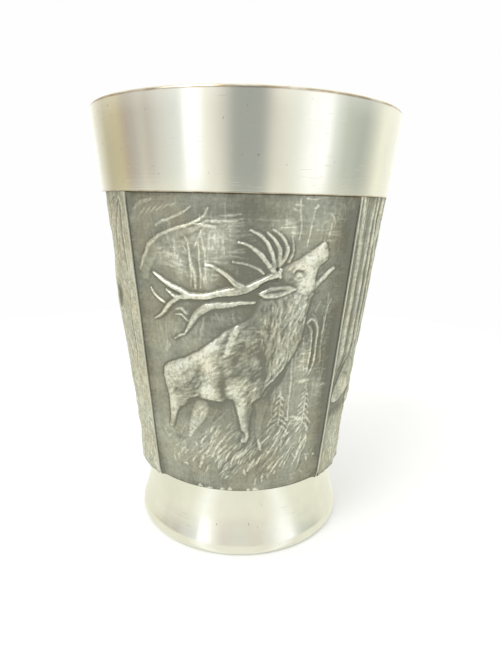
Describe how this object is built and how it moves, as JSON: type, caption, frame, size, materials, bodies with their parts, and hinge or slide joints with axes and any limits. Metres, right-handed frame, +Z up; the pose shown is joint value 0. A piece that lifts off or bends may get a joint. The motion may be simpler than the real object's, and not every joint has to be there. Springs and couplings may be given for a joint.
{
  "type": "pewter shot cup",
  "caption": "Tapered pewter shot cup with a polished rim band, cast woodland relief panels between ribs and a flared turned foot.",
  "frame": {"origin": "centre of the flat ring that the cup stands on", "axes": "+Z up along the cup's axis towards the mouth, -Y towards the front panel with the stag, +X to the right of someone facing it"},
  "size_m": [0.0426, 0.0426, 0.06],
  "materials": {
    "liner": "satin spun pewter, plain",
    "polished": "lathe-turned polished pewter with fine circumferential lines",
    "base": "satin turned pewter",
    "patina": "cast pewter relief, dark patina rubbed bright on the high places",
    "rib": "patinated pewter, rubbed bright along the crown"
  },
  "bodies": {
    "root": {"inner_cup": "liner", "rim_band": "polished", "foot_ring": "polished", "base_disc": "base", "relief_panel_front": "patina", "relief_panel_right": "patina", "relief_panel_back": "patina", "relief_panel_left": "patina", "corner_rib_front_right": "rib", "corner_rib_right_back": "rib", "corner_rib_back_left": "rib", "corner_rib_left_front": "rib"}
  },
  "joints": []
}
